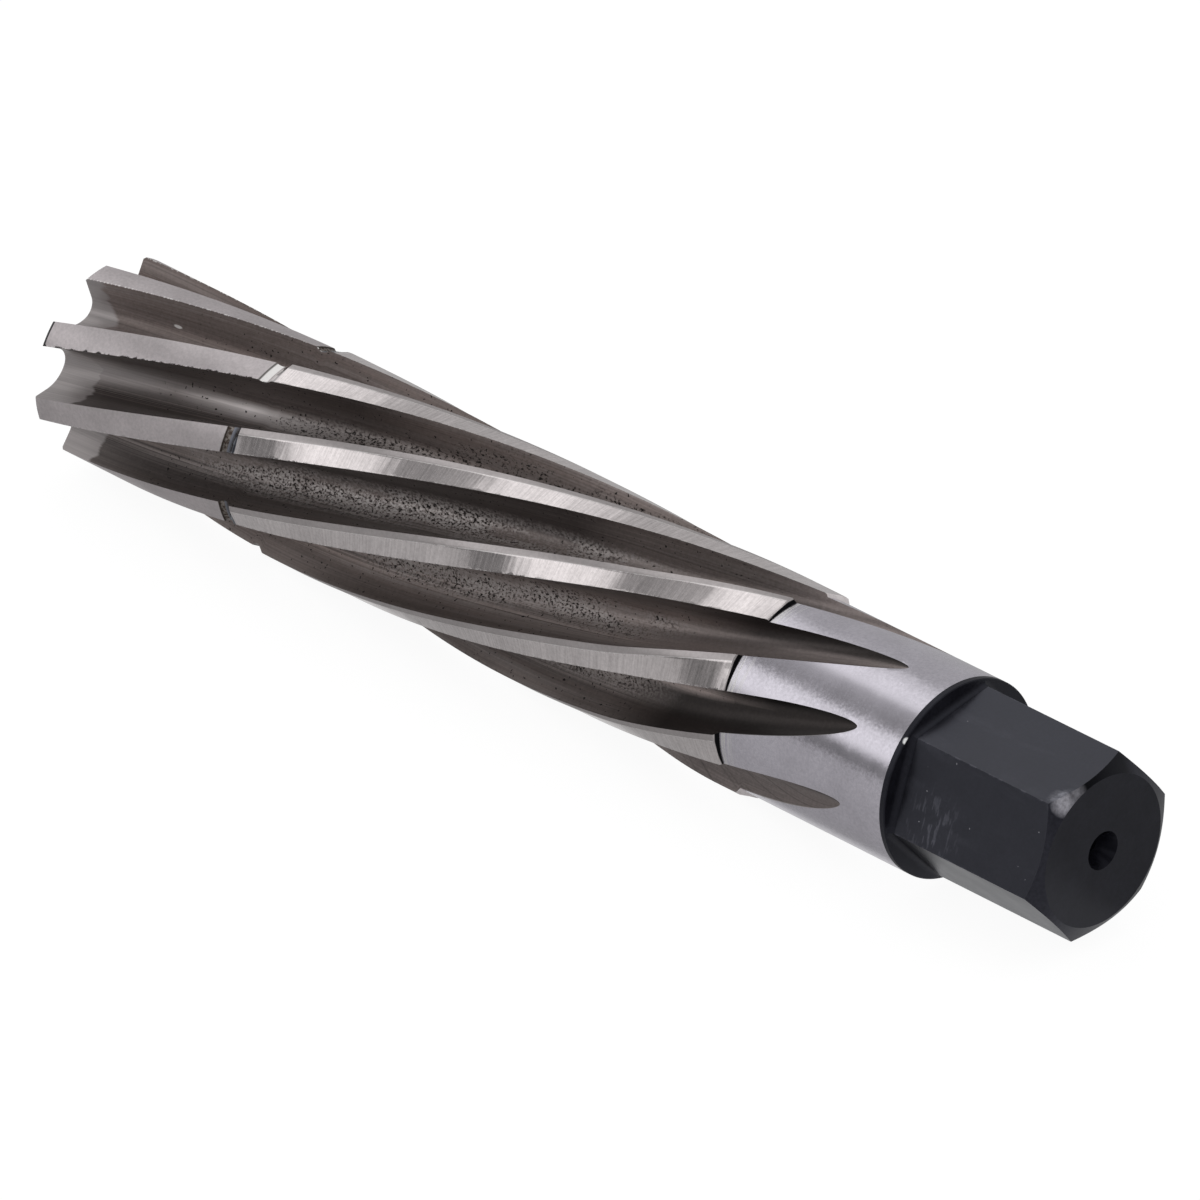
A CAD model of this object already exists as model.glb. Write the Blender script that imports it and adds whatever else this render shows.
import math

import bpy
import numpy as np
from mathutils import Matrix, Vector
from mathutils.geometry import tessellate_polygon


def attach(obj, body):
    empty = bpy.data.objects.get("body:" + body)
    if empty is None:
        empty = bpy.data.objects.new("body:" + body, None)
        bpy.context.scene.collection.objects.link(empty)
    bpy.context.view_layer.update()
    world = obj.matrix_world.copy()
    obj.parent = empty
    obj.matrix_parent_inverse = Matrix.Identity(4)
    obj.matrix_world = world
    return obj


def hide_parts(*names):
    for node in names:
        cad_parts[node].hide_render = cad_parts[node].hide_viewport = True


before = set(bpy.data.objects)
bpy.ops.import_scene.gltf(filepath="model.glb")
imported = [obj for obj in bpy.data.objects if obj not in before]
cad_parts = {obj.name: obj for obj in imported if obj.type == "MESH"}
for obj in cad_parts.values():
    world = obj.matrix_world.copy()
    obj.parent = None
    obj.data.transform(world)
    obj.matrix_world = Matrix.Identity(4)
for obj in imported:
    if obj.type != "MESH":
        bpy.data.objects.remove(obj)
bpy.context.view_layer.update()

millimetre = 0.001

# Radii in metres
cutting_radius = 0.0230
pilot_radius = 0.0224
shank_radius = 0.021875
core_radius = 0.01345
end_radius = 0.01675
flat_distance = 0.0179
outside = 1.12 * cutting_radius

# Heights along the axis in metres, from the pilot tip
tip_chamfer = 0.0005
pilot_top = 0.0560
lead_start = 0.0585
lead_end = 0.0601
cone_start = 0.20415
step_top = 0.2050
black_start = 0.25095
shoulder = 0.2523
length = 0.2929
floor_exit = length - 0.0502

# Neck, lead chamfer, drive foot and centre holes in metres and radians
neck_floor = pilot_radius - 0.0007
lead_radius = cutting_radius - 0.0010
foot_radius = 0.0014
worn_edge = 0.0002
mouth_radius = 0.00425
drill_radius = 0.0020
drill_length = 0.0060
centre_cone = math.radians(60.0)
drill_point = math.radians(120.0)

# Flutes. Lane k is a land and the flute behind it, k pitches round from the first cutting edge
flute_count = 8
pitch_angle = 360.0 / flute_count
lead = 0.548
land_angle = 14.4
face_slant = math.radians(36.0)
corner_share = 0.49
runout_slope = 0.12
runout_blend = 0.012
runout_lean = math.radians(6.0)
margin_angle = 3.8
relief_angle = 12.3
edge_angle_at_tip = 49.9
drive_corner_angle = 42.18
drive_chamfer = math.radians(30.0)

# Mesh density: steps across one land, its margin and one flute, and points of the flute curve
land_steps = 15
margin_steps = 3
flute_steps = 32
lane_steps = land_steps + flute_steps
ring_steps = flute_count * land_steps
heel_arc_points = 25
face_arc_points = 31
curve_points = 900


def reach(height):
    """Radius of the turned outline at this height."""
    if height < tip_chamfer:
        return pilot_radius - tip_chamfer + height
    if height <= pilot_top:
        return pilot_radius
    if height < lead_start:
        share = (height - pilot_top) / (lead_start - pilot_top)
        straight = pilot_radius + (lead_radius - pilot_radius) * share
        sag = (pilot_radius + lead_radius) / 2 - neck_floor
        return straight - 4 * sag * share * (1 - share)
    corners = [lead_start, lead_end, cone_start, step_top]
    return float(np.interp(height, corners, [lead_radius, cutting_radius, cutting_radius, shank_radius]))


def edge_angle(height):
    """Angle of the first cutting edge at this height, in degrees."""
    return edge_angle_at_tip - height * 360.0 / lead


def flute_curve():
    """Flute section with its heel wall along the first axis, as many short chords."""
    span = math.radians(pitch_angle - land_angle)
    edge_out = cutting_radius * math.cos(span)
    edge_side = cutting_radius * math.sin(span)
    foot_side = edge_side - (edge_out - core_radius) * math.tan(face_slant)
    top_side = edge_side + (outside - edge_out) * math.tan(face_slant)
    turn = math.pi / 2 - face_slant
    heel = corner_share * foot_side
    face = heel / math.tan(turn / 2)
    points = [(outside, 0.0)]
    for t in np.linspace(0, math.pi / 2, heel_arc_points):
        points.append((core_radius + heel - heel * math.sin(t), heel - heel * math.cos(t)))
    for t in np.linspace(0, turn, face_arc_points):
        side = (1 - corner_share) * foot_side + face * math.sin(t)
        points.append((core_radius + face - face * math.cos(t), side))
    points.append((outside, top_side))
    points = np.array(points)
    along = np.concatenate([[0], np.cumsum(np.hypot(*np.diff(points, axis=0).T))])
    fine = np.linspace(0, along[-1], curve_points)
    return np.stack([np.interp(fine, along, points[:, n]) for n in (0, 1)], 1)


CURVE = flute_curve()


def lift_at(height):
    """How far the flute section has risen outward at this height."""
    ramp_start = floor_exit - (shank_radius - core_radius) / runout_slope
    past = height - ramp_start + runout_blend / 2
    if past <= 0:
        return 0.0
    if past < runout_blend:
        return runout_slope * past * past / (2 * runout_blend)
    return runout_slope * (past - runout_blend / 2)


def lifted_curve(height):
    """Flute section at this height, still in the frame of its heel wall."""
    lift = lift_at(height)
    return CURVE + np.array([lift, lift * math.tan(runout_lean)])


def find_runout_tip():
    """Height where the rising flute floor leaves the shank."""
    low, high = step_top, shoulder
    for _ in range(50):
        middle = (low + high) / 2
        if np.hypot(*lifted_curve(middle).T).min() < shank_radius:
            low = middle
        else:
            high = middle
    return low


runout_tip = find_runout_tip()


def land_radius(past_edge):
    """Radius of a cutting land this many degrees past its edge: round margin, then a flat."""
    flat = cutting_radius * math.cos(math.radians(relief_angle))
    ground = flat / np.cos(np.radians(past_edge - margin_angle - relief_angle))
    return np.where(past_edge > margin_angle, ground, cutting_radius)


def cut_flute(height):
    """Flute points between its two edges."""
    points = lifted_curve(height)
    radius = np.hypot(*points.T)
    outer = reach(height)
    low = int(np.argmin(radius))
    last = low + int(np.argmax(radius[low:] > outer))
    face_angle = math.degrees(math.atan2(points[last, 1], points[last, 0]))
    heel = outer
    if lead_start <= height < step_top:
        side = math.degrees(points[0, 1] / outer)
        heel = min(outer, float(land_radius(pitch_angle - face_angle + side)))
    first = int(np.argmax(radius[: low + 1] < heel))
    spots = np.linspace(cross_at(radius, first, heel), cross_at(radius, last, outer), flute_steps + 1)
    index = np.arange(len(points))
    return np.stack([np.interp(spots, index, points[:, n]) for n in (0, 1)], 1)


def cross_at(radius, index, wanted):
    """Place between two curve points where the radius passes the wanted one."""
    a, b = radius[index - 1], radius[index]
    return index - 1 + (wanted - a) / (b - a)


def land_fractions(height, width):
    """Where the points of a land lie between its edge and its heel."""
    even = np.linspace(0, 1, land_steps + 1)
    margin = min(margin_angle / width, 0.5)
    close = np.concatenate([
        np.linspace(0, margin, margin_steps, endpoint=False),
        np.linspace(margin, 1, land_steps - margin_steps + 1),
    ])
    share = np.clip((height - step_top) / (runout_tip - step_top), 0, 1)
    return close * (1 - share) + even * share


def side_marks(across, behind, share, part):
    """Place across and distance from the heel at one side of every face of a lane."""
    on_land = np.stack([across[part], behind[part]], 1)
    on_flute = np.stack([share[part], share[part]], 1)
    return np.concatenate([on_land, on_flute])


def section(height):
    """Angles and radii of every point round the tool at this height, and the marks of a lane's faces."""
    flute = cut_flute(height)
    turned = np.degrees(np.arctan2(flute[:, 1], flute[:, 0]))
    start = turned[-1] - pitch_angle
    width = turned[0] - start
    steps = start + width * land_fractions(height, width)
    outer = reach(height)
    radius = np.full(land_steps + 1, outer)
    if lead_start <= height < step_top:
        radius = np.minimum(radius, land_radius(steps - start))
    base = edge_angle(height) + land_angle
    angles = base + np.concatenate([steps[:-1], turned[:-1]])
    radii = np.concatenate([radius[:-1], np.hypot(*flute.T)[:-1]])
    across = np.radians(steps - start) * outer / millimetre
    share = np.linspace(0, 1, flute_steps + 1)
    behind = across[-1] - across
    left = side_marks(across, behind, share, slice(None, -1))
    right = side_marks(across, behind, share, slice(1, None))
    around = np.arange(flute_count)[:, None] * pitch_angle
    return (angles + around).ravel(), np.tile(radii, flute_count), left, right


def heights_between(low, high, step):
    """Even heights from low up to, but not at, high."""
    count = max(1, round((high - low) / step))
    return list(np.linspace(low, high, count, endpoint=False))


def fluted_heights():
    """Heights of the rings from the pilot tip to the run-out tips."""
    close_stretch = 0.008
    stretches = [
        (tip_chamfer, pilot_top, 0.0015),
        (pilot_top, lead_start, 0.0004),
        (lead_start, lead_end, 0.0008),
        (lead_end, cone_start, 0.0016),
        (cone_start, step_top, 0.00042),
        (step_top, runout_tip - close_stretch, 0.0011),
    ]
    rows = [0.0]
    for low, high, step in stretches:
        rows += heights_between(low, high, step)
    rows += [runout_tip - close_stretch * (1 - t) ** 2 for t in np.linspace(0, 0.96, 13)]
    return rows


def place(angle, radius, height):
    """World points of tool coordinates: the axis lies along X, one cutting radius up."""
    turn = np.radians(np.asarray(angle, float))
    radius = np.asarray(radius, float)
    x = np.broadcast_to(np.asarray(height, float) - length / 2, turn.shape)
    return np.stack([x, radius * np.sin(turn), cutting_radius - radius * np.cos(turn)], -1)


def add_object(name, data):
    """New object in the scene."""
    made = bpy.data.objects.new(name, data)
    bpy.context.scene.collection.objects.link(made)
    return made


class Builder:
    """Collects vertices, faces, material numbers and the tool coordinates of face corners."""

    def __init__(self):
        self.points = []
        self.faces = []
        self.slots = []
        self.marks = []

    def add(self, points):
        first = len(self.points)
        self.points.extend(map(tuple, points))
        return list(range(first, len(self.points)))

    def face(self, corners, slot, marks):
        kept, kept_marks = [], []
        for corner, mark in zip(corners, marks):
            if corner not in kept:
                kept.append(corner)
                kept_marks.append(mark)
        if len(kept) > 2:
            self.faces.append(kept)
            self.slots.append(slot)
            self.marks.extend(kept_marks)

    def bridge(self, lower, upper, slot, mark=(0.0, 0.0, 0.0, 0.0)):
        count = len(lower)
        for i in range(count):
            n = (i + 1) % count
            self.face([lower[i], lower[n], upper[n], upper[i]], slot, [mark] * 4)


# Parts of the mesh, in the order of its materials
GROUND, FLUTE, COLLAR, FLATS, CHAMFER, END, HOLE = range(7)

# Lane numbers of the shank and of the pilot's end face, and how far a heel is from them, in millimetres
shank_lane = -1.0
end_face_lane = -2.0
no_heel = 9.0


def ring_at_tips(build):
    """Even ring where the run-outs have left the shank. Returns it and its first angle."""
    curve = lifted_curve(runout_tip)
    lowest = int(np.argmin(np.hypot(*curve.T)))
    tip_angle = math.degrees(math.atan2(curve[lowest, 1], curve[lowest, 0])) - pitch_angle
    first = edge_angle(runout_tip) + land_angle + tip_angle
    angles = first + np.arange(ring_steps) * 360.0 / ring_steps
    return build.add(place(angles, shank_radius, runout_tip)), first


def join_sections(build, lower, upper):
    """Faces between two sections of the lands and flutes."""
    low_height, low, low_left, low_right = lower
    high_height, high, high_left, high_right = upper
    corners = [
        (low_left, low_height),
        (low_right, low_height),
        (high_right, high_height),
        (high_left, high_height),
    ]
    for i in range(len(low)):
        n = (i + 1) % len(low)
        lane, step = divmod(i, lane_steps)
        slot = GROUND if step < land_steps else FLUTE
        marks = [(side[step][0], lane, height, side[step][1]) for side, height in corners]
        build.face([low[i], low[n], high[n], high[i]], slot, marks)


def build_flutes(build):
    """Lands and flutes up to the run-out tips. Returns the first ring, the last one and its first angle."""
    rows = []
    for height in fluted_heights():
        angles, radii, left, right = section(height)
        rows.append((height, build.add(place(angles, radii, height)), left, right))
    ring, first = ring_at_tips(build)
    last = []
    for k in range(flute_count):
        last += ring[k * land_steps : (k + 1) * land_steps]
        last += [ring[((k + 1) * land_steps) % ring_steps]] * flute_steps
    rows.append((runout_tip, last, rows[-1][2], rows[-1][3]))
    for lower, upper in zip(rows, rows[1:]):
        join_sections(build, lower, upper)
    return rows[0][1], ring, first


def hexagon(angles, distance):
    """Radius of a hexagon with flats at this distance, in each direction."""
    off = (np.asarray(angles) - drive_corner_angle) % 60.0 - 30.0
    return distance / np.cos(np.radians(off))


def drive_rings(angles):
    """Radius, height and part of each ring from the shoulder to the end face."""
    edge = shank_radius - worn_edge
    rings = [
        (shank_radius, shoulder - worn_edge, COLLAR),
        (edge, shoulder, COLLAR),
        (np.minimum(hexagon(angles, flat_distance + foot_radius), edge), shoulder, COLLAR),
    ]
    for turn in np.linspace(0, math.pi / 2, 8)[1:]:
        distance = flat_distance + foot_radius * (1 - math.sin(turn))
        radius = np.minimum(hexagon(angles, distance), edge)
        rings.append((radius, shoulder + foot_radius * (1 - math.cos(turn)), COLLAR))
    flat = hexagon(angles, flat_distance)
    chamfer = length - (flat - end_radius) * math.tan(drive_chamfer)
    start = shoulder + foot_radius
    for share in (0.25, 0.5, 0.75, 1.0):
        rings.append((flat, start + (chamfer - start) * share, FLATS))
    rings.append((end_radius, length, CHAMFER))
    return rings


def build_shank(build, ring, first):
    """Plain shank from the run-out tips to the shoulder, then the drive. Returns the end circle."""
    step = 360.0 / ring_steps
    target = drive_corner_angle + round((first - drive_corner_angle) / step) * step
    base = np.arange(ring_steps) * step
    for share in np.linspace(0.1, 1, 10):
        height = runout_tip + (black_start - runout_tip) * share
        above = build.add(place(base + first + (target - first) * share, shank_radius, height))
        build.bridge(ring, above, GROUND, (0.0, shank_lane, height, no_heel))
        ring = above
    angles = base + target
    for radius, height, part in drive_rings(angles):
        radius = np.broadcast_to(radius, angles.shape)
        height = np.broadcast_to(height, angles.shape)
        above = build.add(place(angles, radius, height))
        build.bridge(ring, above, part)
        ring = above
    return ring, angles


def build_centre(build, ring, angles, height, inward, slot):
    """Centre hole from its mouth ring in to the point."""
    cone = (mouth_radius - drill_radius) / math.tan(centre_cone / 2)
    point = drill_radius / math.tan(drill_point / 2)
    steps = [(drill_radius, cone), (drill_radius, cone + drill_length), (0.0, cone + drill_length + point)]
    for radius, depth in steps:
        if radius:
            inner = build.add(place(angles, radius, height + inward * depth))
        else:
            inner = build.add(place([0.0], 0.0, height + inward * depth)) * len(ring)
        if inward < 0:
            build.bridge(ring, inner, slot)
        else:
            build.bridge(inner, ring, slot, (0.0, end_face_lane, 0.0, no_heel))
        ring = inner


def build_tip_face(build, outline):
    """Flat star-shaped face at the pilot end, round its centre hole."""
    mouth_steps = 48
    angles = np.arange(mouth_steps) * 360.0 / mouth_steps
    mouth = build.add(place(angles, mouth_radius, 0.0))
    loops = [[Vector(build.points[i]) for i in outline], [Vector(build.points[i]) for i in mouth]]
    index = outline + mouth
    for a, b, c in tessellate_polygon(loops):
        corners = [index[a], index[b], index[c]]
        p, q, r = (Vector(build.points[i]) for i in corners)
        if (q - p).cross(r - p).x > 0:
            corners.reverse()
        build.face(corners, GROUND, [(0.0, end_face_lane, 0.0, no_heel)] * 3)
    build_centre(build, mouth, angles, 0.0, 1.0, GROUND)


def make_mesh(build):
    """Mesh of what was collected, with its marks as attributes, and sharp at its edges."""
    sharp_from = math.radians(24.0)
    mesh = bpy.data.meshes.new("reamer")
    mesh.from_pydata(build.points, [], build.faces)
    mesh.polygons.foreach_set("material_index", build.slots)
    marks = mesh.attributes.new("tool", "FLOAT_VECTOR", "CORNER")
    values = np.array(build.marks, np.float32)
    marks.data.foreach_set("vector", values[:, :3].ravel())
    behind = mesh.attributes.new("behind", "FLOAT", "CORNER")
    behind.data.foreach_set("value", values[:, 3].copy())
    mesh.polygons.foreach_set("use_smooth", [True] * len(mesh.polygons))
    mesh.set_sharp_from_angle(angle=sharp_from)
    mesh.update()
    return mesh


def build_reamer():
    """The whole tool as one mesh."""
    build = Builder()
    outline, ring, first = build_flutes(build)
    ring, angles = build_shank(build, ring, first)
    end_face_radii = (0.0165, 0.0105, 0.0046, mouth_radius)
    for radius in end_face_radii:
        inner = build.add(place(angles, radius, length))
        build.bridge(ring, inner, END)
        ring = inner
    build_centre(build, ring, angles, length, -1.0, HOLE)
    build_tip_face(build, outline)
    return add_object("spiral_reamer", make_mesh(build))


class Net:
    """Short helpers to wire a node tree. A value is a node's output, or a plain number or colour."""

    def __init__(self, tree):
        self.tree = tree
        tree.nodes.clear()

    def new(self, kind, **settings):
        node = self.tree.nodes.new("ShaderNode" + kind)
        for name, value in settings.items():
            setattr(node, name, value)
        return node

    def link(self, source, target):
        self.tree.links.new(source, target)

    def result(self, kind, inputs, output=0, **settings):
        """Output of a new node whose inputs are linked or set to these values."""
        node = self.new(kind, **settings)
        for name, value in inputs.items():
            if hasattr(value, "is_output"):
                self.link(value, node.inputs[name])
            else:
                node.inputs[name].default_value = value
        return node.outputs[output]

    def math(self, operation, *values, clamp=False):
        return self.result("Math", dict(enumerate(values)), operation=operation, use_clamp=clamp)

    def add(self, a, b):
        return self.math("ADD", a, b)

    def minus(self, a, b, clamp=False):
        return self.math("SUBTRACT", a, b, clamp=clamp)

    def times(self, value, *others):
        for other in others:
            value = self.math("MULTIPLY", value, other)
        return value

    def most(self, value, *others):
        """Greatest of some numbers."""
        for other in others:
            value = self.math("MAXIMUM", value, other)
        return value

    def range(self, value, low, high, to_low=0.0, to_high=1.0, smooth=False):
        """Number between low and high carried over to another range, and held at its ends."""
        inputs = {"Value": value, "From Min": low, "From Max": high, "To Min": to_low, "To Max": to_high}
        return self.result("MapRange", inputs, interpolation_type="SMOOTHSTEP" if smooth else "LINEAR")

    def fade(self, value, low, high):
        """One below low and nothing above high."""
        return self.range(value, low, high, 1.0, 0.0)

    def window(self, value, low, high, soft):
        """One between low and high, nothing outside, with soft ends."""
        rise = self.range(value, low - soft, low + soft)
        return self.times(rise, self.fade(value, high - soft, high + soft))

    def combine(self, x, y, z):
        return self.result("CombineXYZ", {"X": x, "Y": y, "Z": z})

    def separate(self, vector):
        node = self.new("SeparateXYZ")
        self.link(vector, node.inputs[0])
        return node.outputs

    def vector(self, operation, a, b=(0.0, 0.0, 0.0), output=0):
        return self.result("VectorMath", {0: a, 1: b}, output, operation=operation)

    def stretch(self, vector, x, y, z):
        return self.vector("MULTIPLY", vector, (x, y, z))

    def distance(self, vector, point):
        return self.vector("DISTANCE", vector, point, "Value")

    def position(self):
        return self.new("TexCoord").outputs["Object"]

    def tool(self):
        """Place across, lane and height. Across is in millimetres on a land and a share on a flute."""
        node = self.new("Attribute", attribute_type="GEOMETRY", attribute_name="tool")
        return self.separate(node.outputs["Vector"])

    def behind(self):
        """Distance from the heel edge in millimetres."""
        return self.new("Attribute", attribute_type="GEOMETRY", attribute_name="behind").outputs["Fac"]

    def leaned(self, amount):
        """Surface normal leaned round the tool's axis by a small amount."""
        normal = self.new("NewGeometry").outputs["Normal"]
        side = self.vector("CROSS_PRODUCT", (1.0, 0.0, 0.0), normal)
        return self.vector("NORMALIZE", self.vector("ADD", normal, self.shade(side, amount)))

    def by_lane(self, lane, other, values):
        """A number of its own for some of the lands or flutes, another for the rest."""
        result = other
        for number, value in values.items():
            chosen = self.math("COMPARE", lane, float(number), 0.4)
            result = self.blend(chosen, result, value)
        return result

    def noise(self, vector, scale=1.0, detail=2.0, roughness=0.5):
        inputs = {"Vector": vector, "Scale": scale, "Detail": detail, "Roughness": roughness}
        return self.result("TexNoise", inputs, "Fac")

    def mix(self, share, a, b):
        """Mix of two colours."""
        a, b = (value if hasattr(value, "is_output") else (*value, 1.0) for value in (a, b))
        return self.result("Mix", {0: share, 6: a, 7: b}, 2, data_type="RGBA", clamp_factor=True)

    def blend(self, share, a, b):
        """Mix of two numbers."""
        return self.result("Mix", {0: share, 2: a, 3: b}, data_type="FLOAT", clamp_factor=True)

    def shade(self, colour, amount):
        """Colour made lighter or darker by a number."""
        return self.result("VectorMath", {0: colour, "Scale": amount}, operation="SCALE")

    def vary(self, colour, noise, darkest, lightest):
        """Colour shaded by a noise."""
        return self.shade(colour, self.range(noise, 0.3, 0.7, darkest, lightest))

    def bump(self, height, distance, **others):
        return self.result("Bump", {"Height": height, "Distance": distance, **others})

    def rays(self):
        """Camera rays, rays of reflections and glass, and rays of dull surfaces, each 1 or 0."""
        path = self.new("LightPath").outputs
        mirrored = self.add(path["Is Glossy Ray"], path["Is Transmission Ray"])
        return path["Is Camera Ray"], mirrored, path["Is Diffuse Ray"]

    def background(self, strength):
        return self.result("Background", {"Color": (1.0, 1.0, 1.0, 1.0), "Strength": strength})

    def diffuse(self, grey):
        return self.result("BsdfDiffuse", {"Color": (grey, grey, grey, 1.0)})

    def glow(self, strength):
        return self.result("Emission", {"Strength": strength})

    def add_shaders(self, a, b):
        return self.result("AddShader", {0: a, 1: b})

    def mix_shaders(self, share, a, b):
        return self.result("MixShader", {0: share, 1: a, 2: b})


def material(name):
    """New material with a Principled shader. Returns it, its net of nodes and the shader."""
    made = bpy.data.materials.new(name)
    made.use_nodes = True
    net = Net(made.node_tree)
    shader = net.new("BsdfPrincipled")
    output = net.new("OutputMaterial")
    net.link(shader.outputs[0], output.inputs[0])
    return made, net, shader


def finish(net, shader, colour, roughness, normal):
    """Link what varies over every surface to its shader."""
    net.link(colour, shader.inputs["Base Color"])
    net.link(roughness, shader.inputs["Roughness"])
    net.link(normal, shader.inputs["Normal"])


# Colour of beads, streaks and flecks of bare metal
bright_metal = (0.95, 0.93, 0.92)


def heel_beads(net, lane, height):
    """Small beads in a row along every heel edge."""
    row = net.combine(net.times(height, 2100.0), net.times(lane, 9.1), 0.0)
    return net.range(net.noise(row, detail=1.0), 0.53, 0.6)


class Ground:
    """Coordinates, masks and grain that the steps of the ground steel share."""

    def __init__(self, net):
        self.across, self.lane, self.height = net.tool()
        self.behind = net.behind()
        self.spot = net.position()
        self.mask_surfaces(net)
        self.add_grain(net)

    def mask_surfaces(self, net):
        soft = 0.00005
        self.pilot = net.fade(self.height, pilot_top - 2 * soft, pilot_top)
        self.neck = net.window(self.height, pilot_top, lead_start, soft)
        self.chamfer = net.window(self.height, lead_start, lead_end, soft)
        self.cutting = net.window(self.height, lead_end, cone_start, soft)
        self.cone = net.window(self.height, cone_start, step_top, 0.00003)
        self.shank = net.range(self.height, step_top, step_top + 2 * soft)
        self.margin = net.times(self.cutting, net.fade(self.across, 1.48, 1.56))
        self.bright_lane = net.by_lane(self.lane, 0.0, {4: 1.0})

    def add_grain(self, net):
        seed = net.times(self.lane, 5.0)
        cut = net.combine(net.times(self.height, 2100.0), net.times(self.across, 0.1), seed)
        wave = net.combine(net.times(self.height, 700.0), net.times(self.across, 0.06), seed)
        self.lines = net.noise(cut, detail=3.0, roughness=0.65)
        self.swells = net.noise(wave, detail=2.0)
        self.rings = net.noise(net.stretch(self.spot, 1500.0, 120.0, 120.0), detail=3.0, roughness=0.6)
        self.sand = net.noise(self.spot, 1500.0, 2.0, 0.6)
        self.cloud = net.noise(self.spot, 110.0, 3.0, 0.5)


def ground_tone(net, ground):
    """Colour of the lands, pilot and shank before their marks."""
    colour = net.mix(ground.pilot, (0.80, 0.745, 0.745), (0.67, 0.62, 0.63))
    colour = net.mix(ground.shank, colour, (0.71, 0.68, 0.75))
    lines = net.blend(ground.cutting, 0.5, ground.lines)
    colour = net.shade(colour, net.range(lines, 0.32, 0.68, 0.86, 1.12))
    colour = net.mix(ground.margin, colour, (0.56, 0.52, 0.52))
    colour = net.vary(colour, ground.sand, 0.91, 1.07)
    return net.vary(colour, ground.cloud, 0.92, 1.06)


def neck_tones(net, ground, colour):
    """Skin and bare steel of the neck and lead chamfer. Returns the colour and where the skin is white."""
    brown = net.mix(net.range(ground.sand, 0.4, 0.6), (0.075, 0.055, 0.045), (0.30, 0.27, 0.25))
    skin_end = net.by_lane(ground.lane, pilot_top + 0.0013, {4: pilot_top + 0.0019})
    bare = net.range(net.minus(ground.height, skin_end), -0.0001, 0.0001)
    bare_tone = net.mix(ground.bright_lane, (0.24, 0.25, 0.29), (0.62, 0.58, 0.58))
    skin_tone = net.mix(ground.bright_lane, brown, (0.97, 0.95, 0.94))
    colour = net.mix(ground.neck, colour, net.mix(bare, skin_tone, bare_tone))
    colour = net.mix(ground.chamfer, colour, bare_tone)
    groove = net.window(ground.height, lead_end - 0.0006, lead_end - 0.0001, 0.0001)
    groove = net.times(groove, net.minus(0.9, net.times(ground.bright_lane, 0.5)))
    colour = net.mix(groove, colour, (0.07, 0.075, 0.09))
    recess = net.window(ground.height, pilot_top, pilot_top + 0.00035, 0.0001)
    colour = net.mix(net.times(recess, 0.9), colour, (0.05, 0.04, 0.035))
    return colour, net.times(ground.neck, ground.bright_lane, net.minus(1.0, bare))


def tip_bevel(net, ground, colour):
    """Dark bevel at the front of every pilot land."""
    bevel_end = net.by_lane(ground.lane, tip_chamfer, {4: 0.0009})
    front = net.fade(net.minus(ground.height, bevel_end), 0.0, 0.0001)
    front = net.times(front, net.range(ground.lane, -0.9, -0.8))
    grey = net.blend(ground.bright_lane, 0.20, 0.08)
    return net.mix(front, colour, net.combine(grey, grey, grey))


def step_tones(net, ground, colour):
    """Dark line on the step to the shank, but for two lanes. Returns the colour and the pale steps."""
    pale_step = net.times(ground.cone, net.by_lane(ground.lane, 0.0, {5: 1.0, 1: 1.0}))
    line_start = net.add(net.range(ground.behind, 0.0, 6.0, 0.00056, 0.00018), cone_start)
    dark_step = net.times(ground.cone, net.range(net.minus(ground.height, line_start), 0.0, 0.0001))
    dark_step = net.minus(dark_step, pale_step, clamp=True)
    return net.mix(dark_step, colour, (0.012, 0.012, 0.014)), pale_step


def bright_marks(net, ground):
    """Streaks on the shank by the step, and the ridge between each margin and its relief."""
    streaks = net.noise(net.stretch(ground.spot, 2600.0, 70.0, 70.0), detail=2.0)
    by_step = net.fade(ground.height, step_top + 0.0005, step_top + 0.004)
    streak = net.times(net.range(streaks, 0.5, 0.62), net.times(by_step, ground.shank))
    ridge = net.times(ground.cutting, net.window(ground.across, 1.50, 1.62, 0.05))
    ridge = net.times(ridge, net.range(ground.swells, 0.4, 0.55, 0.3, 1.0))
    return net.most(streak, ridge)


def heel_marks(net, ground):
    """Bright beads and dark nicks that the grinding left along the heel edges."""
    lane, height, behind = ground.lane, ground.height, ground.behind
    past_pilot = net.range(height, pilot_top, lead_start)
    before_step = net.fade(height, step_top - 0.0002, step_top)
    near = net.times(net.range(behind, 0.34, 0.20), before_step)
    bead_amount = net.blend(past_pilot, net.by_lane(lane, 0.25, {3: 1.0, 4: 0.4}), 0.2)
    bead = net.times(heel_beads(net, lane, height), bead_amount)
    row = net.combine(net.times(height, 620.0), net.times(lane, 5.7), 4.0)
    nicks = net.noise(row, detail=5.0, roughness=0.6)
    depth = net.range(nicks, 0.46, 0.72, 0.05, 0.75)
    nick = net.times(net.range(nicks, 0.48, 0.53), net.range(behind, depth, 0.0, 0.0, 1.6))
    nick_amount = net.blend(past_pilot, net.by_lane(lane, 0.2, {3: 0.15, 4: 1.0}), 0.25)
    return net.times(near, bead), net.times(nick, nick_amount, before_step)


def ground_roughness(net, ground, bright):
    """Gloss of the ground steel, dull in the neck, on the margins and where it is marked."""
    roughness = net.blend(ground.pilot, net.range(ground.lines, 0.3, 0.7, 0.13, 0.2), 0.46)
    roughness = net.blend(ground.shank, roughness, net.range(ground.cloud, 0.3, 0.7, 0.19, 0.25))
    roughness = net.blend(net.most(ground.neck, ground.margin), roughness, 0.4)
    return net.blend(net.most(bright, ground.cone), roughness, 0.5)


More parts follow.
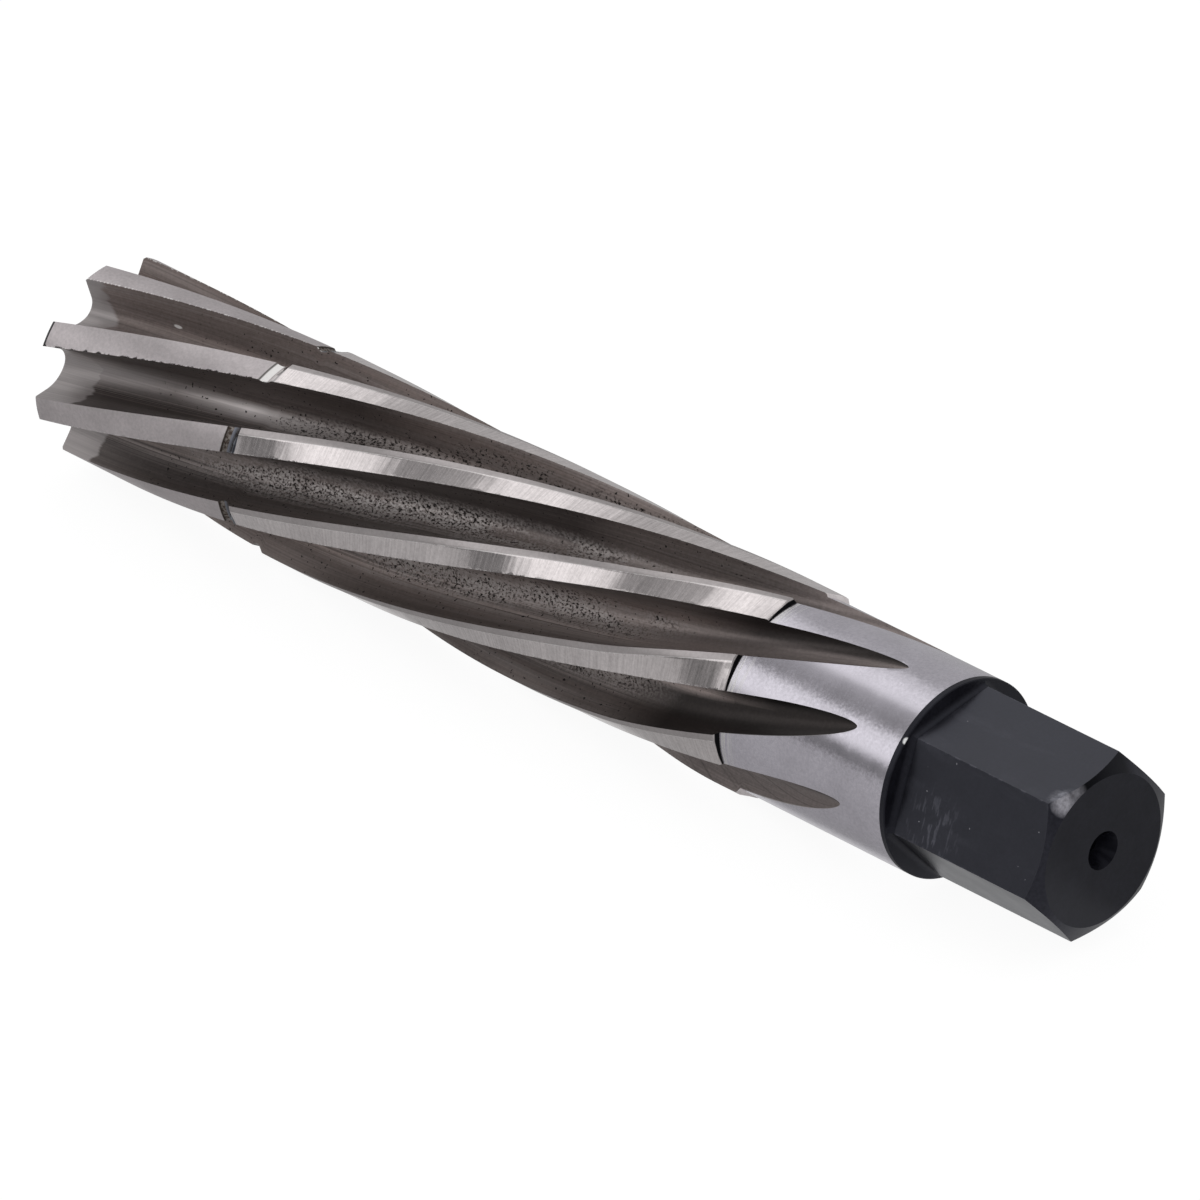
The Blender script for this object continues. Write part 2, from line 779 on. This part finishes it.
def ground_normal(net, ground, nick):
    """Grinding lines, turning rings, sand and nicks as a fine relief."""
    lean = net.times(net.minus(ground.swells, 0.5), ground.cutting, 0.10)
    sparkle = net.times(net.minus(ground.sand, 0.5), ground.shank, 0.09)
    cut = net.times(net.minus(ground.lines, 0.5), ground.cutting)
    turned = net.times(net.minus(ground.rings, 0.5), net.times(ground.shank, 0.5))
    relief = net.add(net.times(cut, 0.6), turned)
    relief = net.add(relief, net.times(ground.sand, net.blend(ground.pilot, 0.15, 0.8)))
    relief = net.minus(relief, net.times(nick, 2.0))
    return net.bump(relief, 0.00002, Normal=net.leaned(net.add(lean, sparkle)))


def ground_steel():
    """Lands, pilot, neck, shank and the pilot's end face."""
    made, net, shader = material("ground_steel")
    ground = Ground(net)
    colour = ground_tone(net, ground)
    colour, white_skin = neck_tones(net, ground, colour)
    colour = tip_bevel(net, ground, colour)
    colour, pale_step = step_tones(net, ground, colour)
    bead, nick = heel_marks(net, ground)
    bright = net.most(bright_marks(net, ground), bead)
    colour = net.mix(bright, colour, bright_metal)
    colour = net.mix(nick, colour, (0.04, 0.035, 0.035))
    roughness = ground_roughness(net, ground, bright)
    finish(net, shader, colour, roughness, ground_normal(net, ground, nick))
    chalky = net.most(white_skin, pale_step, net.times(bead, 0.8))
    net.link(net.blend(chalky, 1.0, 0.15), shader.inputs["Metallic"])
    return made


class Flute:
    """Coordinates and grain that the steps of the flutes' scale share."""

    def __init__(self, net):
        self.share, self.lane, self.height = net.tool()
        self.spot = net.position()
        self.seed = net.times(self.lane, 7.3)
        late = net.by_lane(self.lane, -0.007, {7: -0.022})
        slanting = net.add(self.height, net.range(self.share, 0.38, 0.52, late, 0.007))
        self.smooth = net.range(slanting, step_top - 0.030, step_top - 0.010)
        self.wide = self.waves(net, 9.0, 9.0, detail=3.0)
        faint = net.times(self.smooth, net.by_lane(self.lane, 0.8, {0: 0.0}))
        self.lines = net.blend(faint, self.waves(net, 60.0, 22.0, detail=3.0, roughness=0.65), 0.5)
        self.sand = net.noise(self.spot, 1400.0, 2.0, 0.6)

    def waves(self, net, across, along, **settings):
        """Noise with one scale across the flutes and one along them."""
        point = net.combine(net.times(self.share, across), self.seed, net.times(self.height, along))
        return net.noise(point, **settings)


def scale_tone(net, flute):
    """Brown hardening scale, and its darker or cleaner run-outs."""
    colour = net.mix(net.range(flute.wide, 0.35, 0.65), (0.188, 0.152, 0.141), (0.246, 0.212, 0.203))
    lighter_floor = net.range(flute.share, 0.30, 0.60, 0.9, 4.2)
    lighter_heel = net.range(flute.share, 0.15, 0.35, 4.5, 1.3)
    amount = net.by_lane(flute.lane, 1.0, {0: 3.2, 5: lighter_heel, 6: lighter_floor, 7: 0.65})
    return net.mix(flute.smooth, colour, net.shade(net.combine(0.066, 0.056, 0.054), amount))


def scale_strips(net, flute, colour):
    """The scale's darker and lighter strips under the heel, on the floor and by the cutting edge."""
    share, lane, height = flute.share, flute.lane, flute.height
    heel_tones = {
        2: 1.2,
        3: 1.25,
        4: net.range(height, 0.08, 0.10, 0.5, 1.35),
        5: net.range(height, 0.145, 0.160, 0.4, 0.95),
    }
    under_heel = net.by_lane(lane, 0.5, heel_tones)
    on_floor = net.by_lane(lane, 1.08, {4: net.range(height, 0.08, 0.11, 0.66, 1.08), 6: 1.2})
    ramp_start = net.by_lane(lane, 0.04, {5: 0.28})
    ramp_end = net.by_lane(lane, 0.34, {5: 0.50})
    colour = net.shade(colour, net.range(share, ramp_start, ramp_end, under_heel, on_floor, smooth=True))
    on_face = net.by_lane(lane, 0.74, {5: 0.5, 6: 1.0, 0: 1.0})
    colour = net.shade(colour, net.range(share, 0.58, 0.74, 1.0, on_face, smooth=True))
    by_edge = net.times(net.range(share, 0.80, 0.93), net.range(height, 0.055, 0.085))
    return net.shade(colour, net.blend(by_edge, 1.0, net.by_lane(lane, 1.0, {6: 0.55})))


def milling_marks(net, flute, colour):
    """Milling lines, arcs in one run-out, ridges at the foot of the faces, and one lighter heel wall."""
    share, lane, height = flute.share, flute.lane, flute.height
    colour = net.vary(colour, flute.lines, 0.76, 1.24)
    slant = net.minus(net.times(share, 16.0), net.times(height, 350.0))
    arcs = net.range(net.noise(net.combine(slant, flute.seed, 0.0), detail=3.0), 0.52, 0.66)
    arcs = net.times(arcs, net.times(flute.smooth, net.by_lane(lane, 0.0, {0: 0.6})))
    colour = net.shade(colour, net.range(arcs, 0.0, 1.0, 1.0, 0.35))
    colour = net.vary(colour, flute.sand, 0.88, 1.12)
    face_foot = net.times(net.window(share, 0.60, 0.76, 0.03), net.minus(1.0, flute.smooth))
    ridges = net.range(flute.waves(net, 85.0, 5.0, detail=2.0), 0.35, 0.65, 0.45, 1.6)
    colour = net.shade(colour, net.blend(face_foot, 1.0, ridges))
    heel_wall = net.times(net.window(height, 0.160, 0.200, 0.005), net.fade(share, 0.40, 0.50))
    heel_wall = net.times(heel_wall, net.by_lane(lane, 0.0, {7: 1.0}))
    return net.shade(colour, net.blend(heel_wall, 1.0, 2.4))


def cleaned_end(net, flute):
    """Bright stretch of each flute by the pilot end, with a long fade on two of them."""
    share, lane, height = flute.share, flute.lane, flute.height
    wall = net.by_lane(lane, 0.008, {2: -0.003, 3: 0.0045, 4: 0.0025, 5: 0.0105})
    face = net.by_lane(lane, 0.010, {2: 0.0040, 3: 0.0080, 4: 0.0115, 5: 0.0115})
    edge = net.blend(net.range(share, 0.25, 0.45), wall, face)
    ragged = net.noise(net.combine(net.times(share, 9.0), net.times(lane, 3.1), 0.5), detail=4.0)
    edge = net.add(edge, net.range(ragged, 0.25, 0.75, -0.0016, 0.0016))
    sharp = net.fade(net.minus(height, edge), -0.0004, 0.0006)
    floor = net.times(net.window(share, 0.30, 0.58, 0.08), net.by_lane(lane, 0.0, {4: 0.9}))
    floor = net.times(floor, net.fade(height, 0.006, 0.048))
    side = net.times(net.range(share, 0.5, 0.75), net.by_lane(lane, 0.0, {3: 0.9}))
    side = net.times(side, net.fade(height, 0.006, 0.036))
    return net.most(sharp, floor, side)


def bare_metal(net, flute, clean, colour):
    """Cleaned metal by the pilot end, and a paler bare streak on the floor of one flute."""
    metal = net.mix(flute.wide, (0.47, 0.435, 0.43), (0.38, 0.35, 0.35))
    metal = net.vary(metal, flute.lines, 0.85, 1.12)
    colour = net.mix(clean, colour, metal)
    streak = net.window(flute.share, 0.42, 0.58, 0.05)
    streak = net.times(streak, net.by_lane(flute.lane, 0.0, {4: 1.0}))
    streak = net.times(streak, net.range(flute.height, 0.032, 0.052))
    streak = net.times(streak, net.fade(flute.height, 0.052, 0.082))
    return net.mix(streak, colour, net.shade(metal, 1.6))


def pitting(net, flute):
    """Pitted middle of the flutes: its extent, its pale skin, how pale that is, and the pits."""
    lane, height = flute.lane, flute.height
    aside = net.by_lane(lane, 0.0, {4: net.range(height, 0.082, 0.115, 0.0, 0.27), 5: -0.02})
    middle = net.window(net.add(flute.share, aside), 0.36, 0.64, 0.14)
    patches = flute.waves(net, 5.0, 45.0, detail=3.0)
    middle = net.times(middle, net.range(patches, 0.36, 0.52, 0.25, 1.0))
    start = net.by_lane(lane, 0.036, {4: 0.052, 6: 0.080})
    middle = net.times(middle, net.range(height, start, net.add(start, 0.024)))
    middle = net.times(middle, net.fade(height, 0.165, 0.190))
    holes = net.noise(net.stretch(flute.spot, 1400.0, 2000.0, 2000.0), detail=4.0, roughness=0.62)
    pale = net.by_lane(lane, 1.0, {4: net.range(height, 0.085, 0.105, 0.6, 0.25), 5: 1.7})
    skin = net.times(net.fade(holes, 0.40, 0.54), middle, pale)
    pit = net.times(net.range(holes, 0.545, 0.60), net.range(middle, 0.15, 0.5))
    stray = net.range(net.noise(flute.spot, 1200.0, 1.0), 0.70, 0.73)
    stray = net.times(stray, net.range(height, 0.026, 0.034), net.minus(1.0, flute.smooth))
    return middle, skin, pale, net.most(pit, stray)


def bright_fleck(net, flute, colour):
    """One bright fleck in a flute, drawn out along the tool."""
    drawn_out = net.stretch(flute.spot, 0.3, 1.0, 1.0)
    fleck = net.range(net.distance(drawn_out, (-0.03728, -0.0014, 0.0390)), 0.00042, 0.0003)
    return net.mix(fleck, colour, bright_metal)


def bright_edges(net, flute, colour):
    """Beads along the heel edges, and a bright rim at the run-outs' other edge."""
    share, height = flute.share, flute.height
    heel = net.fade(share, 0.0, 0.012)
    heel = net.times(heel, net.range(height, pilot_top, lead_start, 1.0, 0.15))
    bead = net.times(heel, heel_beads(net, flute.lane, height))
    rim = net.times(net.range(share, 0.975, 1.0), net.range(height, step_top, step_top + 0.01))
    return net.mix(net.most(bead, net.times(rim, 0.5)), colour, (0.8, 0.77, 0.76))


def flute_scale():
    """Dark hardening scale over milled flutes, pitted along the middle of the tool."""
    made, net, shader = material("flute_scale")
    flute = Flute(net)
    colour = scale_tone(net, flute)
    colour = scale_strips(net, flute, colour)
    colour = milling_marks(net, flute, colour)
    clean = cleaned_end(net, flute)
    colour = bare_metal(net, flute, clean, colour)
    middle, skin, pale, pit = pitting(net, flute)
    colour = net.mix(net.times(middle, pale, 0.3), colour, (0.36, 0.325, 0.315))
    colour = net.mix(net.times(skin, 0.6), colour, (0.58, 0.54, 0.53))
    colour = net.mix(net.times(pit, 0.93), colour, (0.012, 0.010, 0.009))
    colour = bright_fleck(net, flute, colour)
    colour = bright_edges(net, flute, colour)

    roughness = net.range(flute.sand, 0.3, 0.7, 0.38, 0.48)
    roughness = net.blend(flute.smooth, roughness, 0.40)
    roughness = net.blend(net.most(clean, middle), roughness, 0.46)
    roughness = net.blend(pit, roughness, 0.8)
    fine = flute.waves(net, 190.0, 50.0, detail=1.0)
    relief = net.add(net.times(flute.lines, 0.7), net.times(fine, 0.2))
    relief = net.add(relief, net.times(flute.sand, net.blend(flute.smooth, 0.3, 0.1)))
    relief = net.minus(relief, net.times(pit, 1.5))
    relief = net.add(relief, net.times(skin, 0.5))
    finish(net, shader, colour, roughness, net.bump(relief, 0.00003))
    net.link(net.blend(net.most(clean, flute.smooth), 0.62, 0.8), shader.inputs["Metallic"])
    return made


# Worn places of the drive end
bare_corner = place(drive_corner_angle + 174.0, 0.0184, length - 0.0009)
bare_tail = place(drive_corner_angle + 164.0, 0.0180, length - 0.0007)
dark_corner = place(drive_corner_angle + 141.0, 0.0180, length)
shoulder_nick = place(drive_corner_angle + 184.5, shank_radius, shoulder)
scuffed_place = (0.1163, -0.0188, 0.0235)


def from_axis(net, spot):
    """Distances from the tool's axis: sideways and down."""
    _, side, up = net.separate(spot)
    return side, net.minus(cutting_radius, up)


def worn_flats(net, spot, rubbed, colour):
    """Flats with rubbed edges, smears, scuffs in one place, specks, and the bare corner's surroundings."""
    side, down = from_axis(net, spot)
    angle = net.times(net.math("ARCTAN2", side, down), 180.0 / math.pi)
    from_corner = net.math("WRAP", net.minus(angle, drive_corner_angle), -30.0, 30.0)
    edge = net.range(net.math("ABSOLUTE", from_corner), 0.7, 0.2)
    edge = net.times(edge, net.range(rubbed, 0.5, 0.62))
    smears = net.noise(net.stretch(spot, 60.0, 200.0, 200.0), detail=3.0)
    scuffs = net.range(net.noise(net.stretch(spot, 1500.0, 300.0, 300.0), detail=3.0), 0.55, 0.62)
    scuffs = net.add(net.times(scuffs, 0.45), 0.02)
    scuffs = net.times(scuffs, net.range(net.distance(spot, scuffed_place), 0.0095, 0.003))
    pale = net.most(net.times(edge, 0.4), net.times(net.range(smears, 0.58, 0.72), 0.1), scuffs)
    colour = net.mix(pale, colour, (0.10, 0.10, 0.12))
    specks = net.range(net.noise(spot, 1100.0, 0.0), 0.865, 0.88)
    colour = net.mix(specks, colour, (0.22, 0.22, 0.24))
    spread = net.range(net.distance(spot, bare_corner), 0.0038, 0.0022)
    return net.mix(net.times(spread, net.range(rubbed, 0.35, 0.6)), colour, (0.16, 0.16, 0.18))


def worn_chamfer(net, spot, rubbed):
    """Chamfer, darkest at one corner and bare at another. Returns the colour and how bare it is."""
    clear = net.range(net.distance(spot, dark_corner), 0.0075, 0.0105)
    colour = net.mix(clear, (0.0015, 0.0015, 0.0020), (0.017, 0.017, 0.023))
    bare = net.range(net.distance(spot, bare_corner), 0.0032, 0.0008)
    tail = net.range(net.distance(spot, bare_tail), 0.0030, 0.0008, 0.0, 0.35)
    bare = net.times(net.most(bare, tail), net.range(rubbed, 0.3, 0.5, 0.5, 1.0))
    return net.mix(bare, colour, (0.50, 0.49, 0.54)), bare


def nicked_collar(net, spot, colour):
    """Collar with one bright nick on the shoulder's rim."""
    side, down = from_axis(net, spot)
    radius = net.math("SQRT", net.add(net.times(side, side), net.times(down, down)))
    rim = net.range(radius, shank_radius - worn_edge, shank_radius - worn_edge + 0.00004)
    nick = net.range(net.distance(spot, shoulder_nick), 0.0009, 0.0005)
    return net.mix(net.times(nick, rim), net.shade(colour, 1.3), (0.9, 0.9, 0.9))


def black_oxide(name, part, gloss):
    """Blackened steel of one part of the drive end."""
    made, net, shader = material(name)
    spot = net.position()
    cloud = net.noise(spot, 130.0, 4.0, 0.6)
    sand = net.noise(spot, 1300.0, 2.0, 0.6)
    colour = net.mix(net.range(cloud, 0.35, 0.65), (0.0040, 0.0040, 0.0062), (0.0075, 0.0075, 0.0108))
    roughness = net.range(cloud, 0.3, 0.7, 0.28, 0.34)
    rubbed = net.noise(spot, 420.0, 3.0, 0.7)
    if part == FLATS:
        colour = worn_flats(net, spot, rubbed, colour)
    if part == CHAMFER:
        colour, bare = worn_chamfer(net, spot, rubbed)
        roughness = net.blend(bare, roughness, 0.42)
        net.link(net.times(bare, 0.6), shader.inputs["Metallic"])
    if part == COLLAR:
        colour = nicked_collar(net, spot, colour)
        roughness = net.add(roughness, 0.14)
    colour = net.vary(colour, sand, 0.75, 1.3)
    relief = net.add(net.times(sand, 0.3), cloud)
    finish(net, shader, colour, roughness, net.bump(relief, 0.00002))
    shader.inputs["Specular IOR Level"].default_value = gloss
    shader.inputs["IOR"].default_value = 1.6
    shader.inputs["Specular Tint"].default_value = (0.80, 0.82, 1.0, 1.0)
    return made


# Light bands: where round the shank the camera sees them, in degrees from its upper edge, and how bright
camera_up_angle = 38.0
light_bands = [
    (-26.0, 0.44), (47.5, 0.44), (50.0, 0.74), (55.0, 0.74), (57.0, 0.96), (66.5, 0.96),
    (69.5, 0.38), (74.0, 0.35), (77.5, 0.27), (83.0, 0.27), (86.0, 0.93), (89.0, 0.93),
    (92.0, 1.0), (99.0, 1.0), (102.0, 0.16), (108.0, 0.16), (110.0, 0.42), (154.0, 0.42),
]


def band_ramp(net, turn):
    """Brightness by direction round the tool's axis. A reflection turns twice as far as the surface."""
    ramp = net.new("ValToRGB")
    net.link(turn, ramp.inputs[0])
    elements = ramp.color_ramp.elements
    while len(elements) < len(light_bands):
        elements.new(0.5)
    for element, (angle, _) in zip(elements, light_bands):
        element.position = (2 * angle - 90.0 - camera_up_angle + 180.0) / 360.0
    for element, (_, value) in zip(elements, light_bands):
        element.color = (value, value, value, 1.0)
    return ramp.outputs[0]


def set_world():
    """White for the camera and, in strips along the tool, for reflections."""
    world = bpy.data.worlds.new("studio")
    bpy.context.scene.world = world
    world.use_nodes = True
    net = Net(world.node_tree)
    way = net.separate(net.new("TexCoord").outputs["Generated"])
    lean = net.math("ARCTAN2", net.times(way[1], -1.0), way[2])
    turn = net.range(net.times(lean, 180.0 / math.pi), -180.0, 180.0)
    strips = net.blend(net.range(way[0], 0.6, 0.85, smooth=True), band_ramp(net, turn), 0.1)
    camera, mirrored, diffuse = net.rays()
    share = net.add(camera, net.times(mirrored, strips))
    dim = net.background(net.times(diffuse, 0.8))
    output = net.new("OutputWorld")
    net.link(net.mix_shaders(share, dim, net.background(1.0)), output.inputs[0])


def floor_white():
    """White to the camera but for a faint shadow, and darker in the tool's reflections."""
    made = bpy.data.materials.new("floor_white")
    made.use_nodes = True
    net = Net(made.node_tree)
    camera, mirrored, _ = net.rays()
    faint = net.diffuse(0.12)
    side = net.math("ABSOLUTE", net.separate(net.position())[1])
    under_tool = net.range(side, 0.011, 0.016, 0.31, 0.0)
    aside = net.range(side, 0.02, 0.10, 0.30, 0.34)
    seen = net.add_shaders(faint, net.glow(0.93))
    reflected = net.add_shaders(faint, net.glow(net.add(under_tool, aside)))
    lighting = net.add_shaders(net.diffuse(0.62), net.glow(0.12))
    unseen = net.mix_shaders(mirrored, lighting, reflected)
    output = net.new("OutputMaterial")
    net.link(net.mix_shaders(camera, unseen, seen), output.inputs[0])
    return made


def set_floor():
    """Pale floor round the tool."""
    half = 2.0
    corners = [(-half, -half, 0), (half, -half, 0), (half, half, 0), (-half, half, 0)]
    mesh = bpy.data.meshes.new("floor")
    mesh.from_pydata(corners, [], [(0, 1, 2, 3)])
    mesh.materials.append(floor_white())
    floor = add_object("floor", mesh)


# Camera: its directions, where the end face lies from it in cutting radii, and its lens
camera_right = (0.70036807, 0.71372202, 0.00923929)
camera_ahead = (-0.62226103, 0.61686022, -0.48194496)
face_to_right = 4.41540931
face_below = 2.1999888
face_ahead = 160.37256714
focal_pixels = 18268.87
photo_width = 1200.0
sensor_width = 36.0


def set_camera():
    """Long lens placed by the end face, where the photo shows it."""
    right = Vector(camera_right).normalized()
    ahead = Vector(camera_ahead).normalized()
    above = right.cross(ahead).normalized()
    end_face = Vector((length / 2, 0.0, cutting_radius))
    from_camera = right * face_to_right - above * face_below + ahead * face_ahead
    camera = add_object("camera", bpy.data.cameras.new("camera"))
    camera.data.sensor_width = sensor_width
    camera.data.lens = sensor_width * focal_pixels / photo_width
    camera.data.clip_end = 20.0
    turn = Matrix((right, above, -ahead)).transposed().to_4x4()
    camera.matrix_world = Matrix.Translation(end_face - from_camera * cutting_radius) @ turn
    bpy.context.scene.camera = camera


reamer = build_reamer()
finishes = [
    ground_steel(),
    flute_scale(),
    black_oxide("black_collar", COLLAR, 0.28),
    black_oxide("black_flats", FLATS, 0.68),
    black_oxide("black_chamfer", CHAMFER, 0.25),
    black_oxide("black_end", END, 0.24),
    black_oxide("black_hole", HOLE, 0.08),
]
for made in finishes:
    reamer.data.materials.append(made)
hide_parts("reamer")
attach(reamer, "root")
set_world()
set_floor()
set_camera()
bpy.context.scene.view_settings.view_transform = "Standard"
